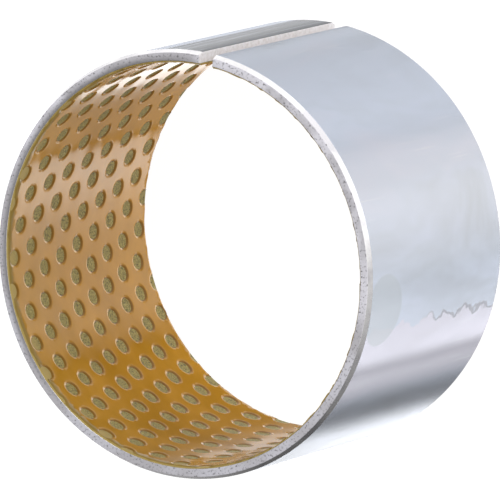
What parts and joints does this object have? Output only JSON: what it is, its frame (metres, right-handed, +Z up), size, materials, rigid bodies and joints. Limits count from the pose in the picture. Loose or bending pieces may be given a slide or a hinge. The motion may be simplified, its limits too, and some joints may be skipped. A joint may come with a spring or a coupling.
{
  "type": "wrapped composite plain bushing with grease pockets",
  "caption": "Split steel-backed plain bushing with a sintered bronze layer and an amber acetal bore lining full of round grease pockets; carries a turning shaft in a housing.",
  "frame": {"origin": "centre of the bore at the lower end face, which the bushing stands on", "axes": "+Z up along the bore axis; directions round the bore are counted from +X, and the open butt joint is near +Y"},
  "size_m": [0.08, 0.08, 0.05],
  "materials": {
    "plated_steel": "satin",
    "sintered_bronze": "matte",
    "amber_acetal": "satin"
  },
  "bodies": {
    "root": {"steel_backing": "plated_steel", "sintered_bronze_layer": "sintered_bronze", "acetal_lining": "amber_acetal"}
  },
  "joints": []
}
